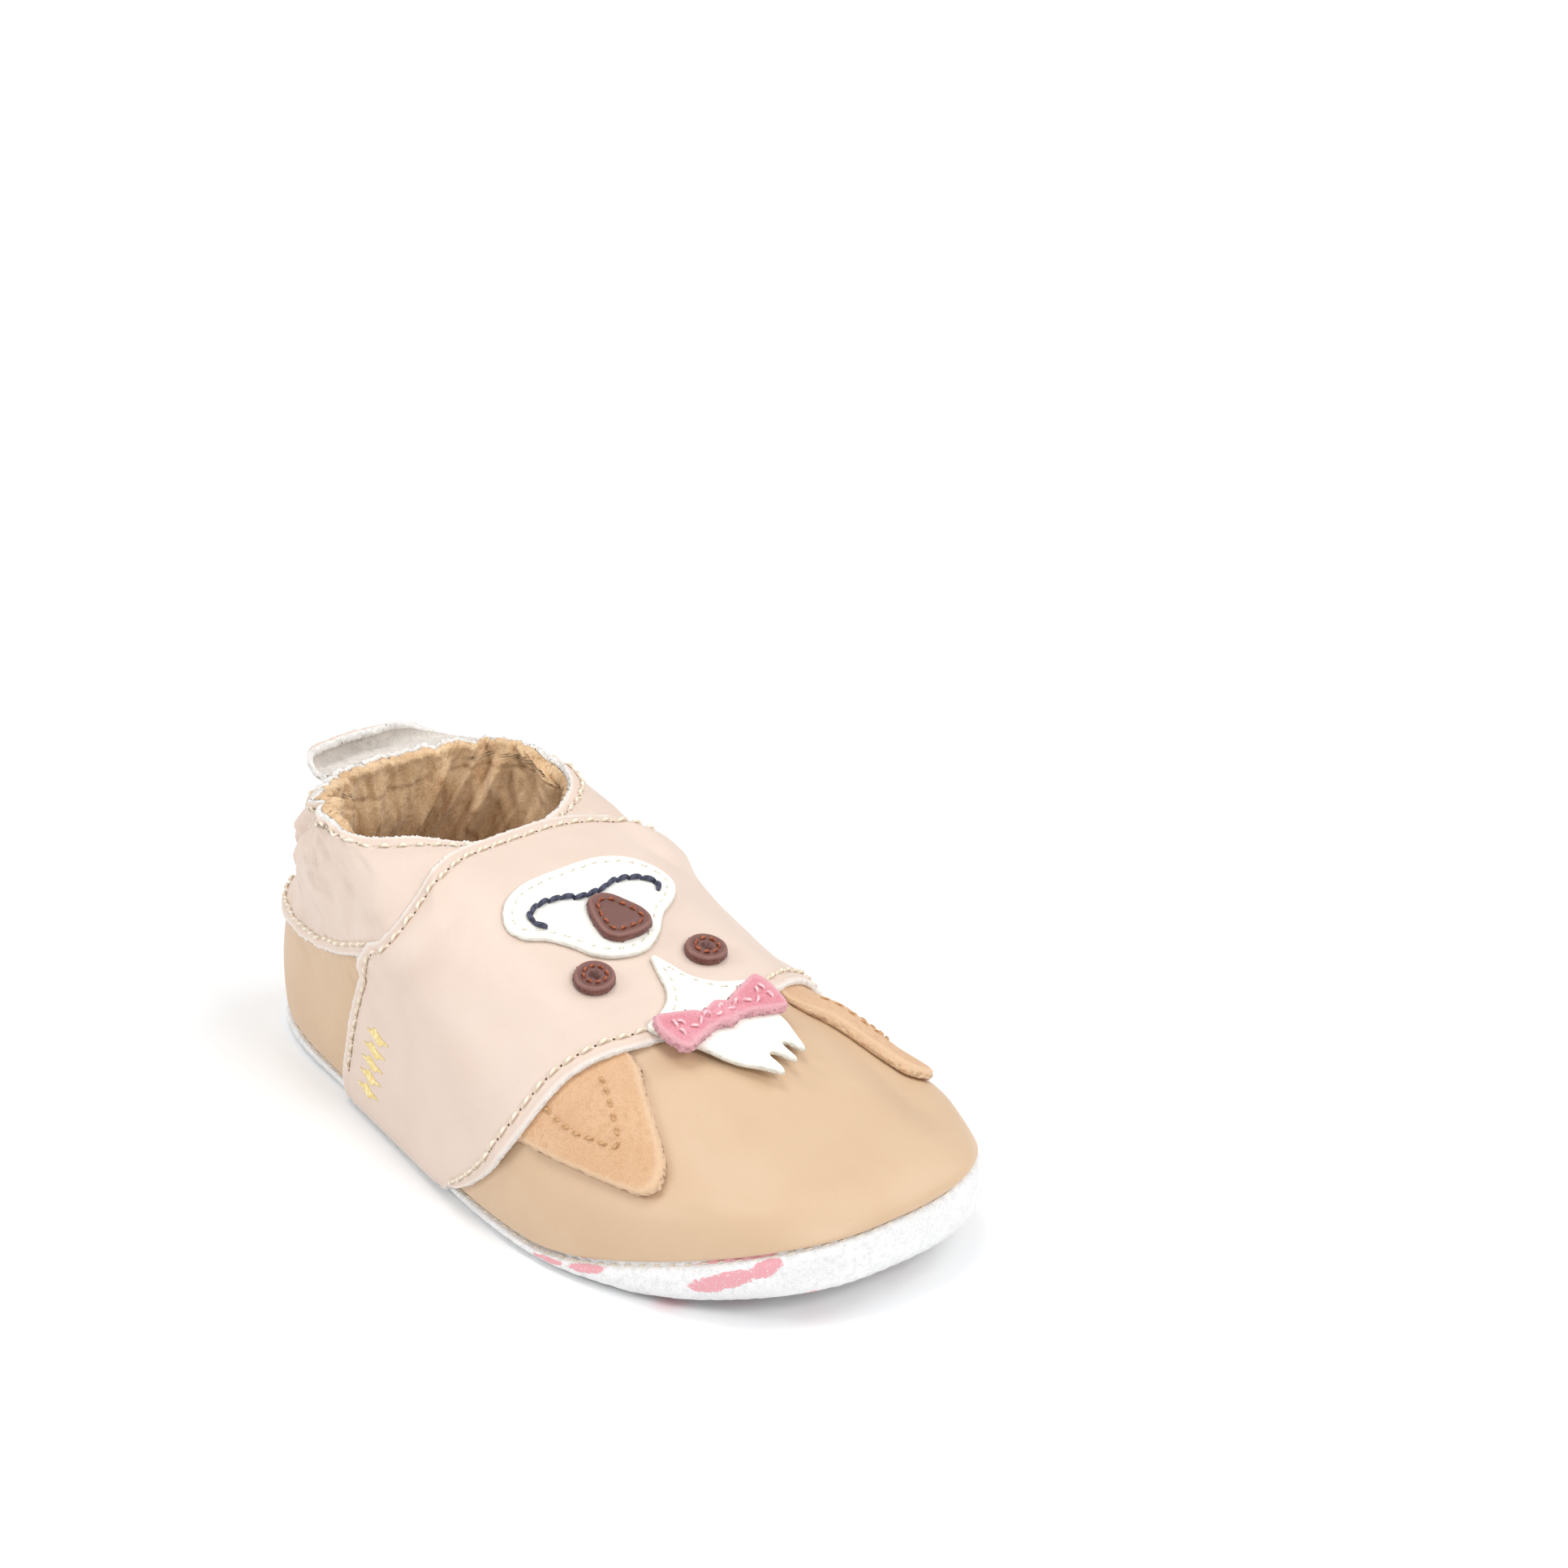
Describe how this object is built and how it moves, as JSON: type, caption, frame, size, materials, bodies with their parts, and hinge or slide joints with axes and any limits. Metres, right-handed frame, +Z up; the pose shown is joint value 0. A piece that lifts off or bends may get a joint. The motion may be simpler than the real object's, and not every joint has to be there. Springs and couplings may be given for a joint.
{
  "type": "baby bootie",
  "caption": "Soft leather baby bootie for the right foot, with an elastic ankle, a pull tab, and an appliqued animal face with two free ears and a bow.",
  "frame": {"origin": "on the floor, under the middle of the bootie's length and width", "axes": "+Z up, the toe points to -Y and the heel to +Y, +X is the inner side of the right foot"},
  "size_m": [0.0684, 0.1304, 0.0484],
  "materials": {
    "tan_leather": "smooth satin leather with a fine grain",
    "blush_leather": "smooth satin leather with a fine grain",
    "cream_leather": "soft matt leather",
    "white_suede": "napped suede",
    "orange_suede": "napped suede",
    "pink_suede": "napped suede",
    "brown_felt": "thick matt leather",
    "foam": "soft open foam",
    "elastic": "woven elastic",
    "beige_thread": "twisted thread",
    "cream_thread": "twisted thread",
    "navy_thread": "thick twisted thread",
    "rust_thread": "twisted thread",
    "pink_thread": "twisted thread"
  },
  "bodies": {
    "bootie": {"outsole": "white_suede", "sole_padding": "foam", "insole_sock": "white_suede", "toe_vamp": "tan_leather", "heel_quarter": "tan_leather", "ankle_collar": "blush_leather", "elastic_band": "elastic", "face_overlay": "blush_leather", "muzzle_patch": "cream_leather", "nose_patch": "brown_felt", "eye_patch_outer": "brown_felt", "eye_patch_inner": "brown_felt", "hair_tuft": "cream_leather", "bow_patch": "pink_suede", "mouth_embroidery": "navy_thread", "muzzle_stitching": "cream_thread", "nose_stitching": "rust_thread", "eye_stitching_outer": "rust_thread", "eye_stitching_inner": "rust_thread", "hair_stitching": "cream_thread", "bow_stitching": "pink_thread", "overlay_front_stitching_outer": "beige_thread", "overlay_front_stitching_inner": "beige_thread", "overlay_rear_stitching": "beige_thread", "collar_top_stitching": "beige_thread", "collar_bottom_stitching": "beige_thread", "sole_seam_stitching": "beige_thread"},
    "ear_outer": {"ear_outer": "orange_suede", "ear_stitching_outer": "beige_thread"},
    "ear_inner": {"ear_inner": "orange_suede", "ear_stitching_inner": "beige_thread"},
    "heel_tab": {"heel_tab": "blush_leather"}
  },
  "joints": [
    {"name": "ear_outer_lift", "type": "hinge", "parent": "bootie", "child": "ear_outer", "pos_m": [-0.02876, -0.02084, 0.02531], "axis": [-0.6329, 0.3631, -0.6839], "range_deg": [0, 60], "stiffness_Nm_per_rad": 0.004},
    {"name": "ear_inner_lift", "type": "hinge", "parent": "bootie", "child": "ear_inner", "pos_m": [0.02974, -0.02068, 0.02533], "axis": [-0.6167, -0.3713, 0.6941], "range_deg": [0, 60], "stiffness_Nm_per_rad": 0.004},
    {"name": "heel_tab_fold", "type": "hinge", "parent": "bootie", "child": "heel_tab", "pos_m": [0, 0.0485, 0.0445], "axis": [1, 0, 0], "range_deg": [0, 50], "stiffness_Nm_per_rad": 0.004}
  ]
}
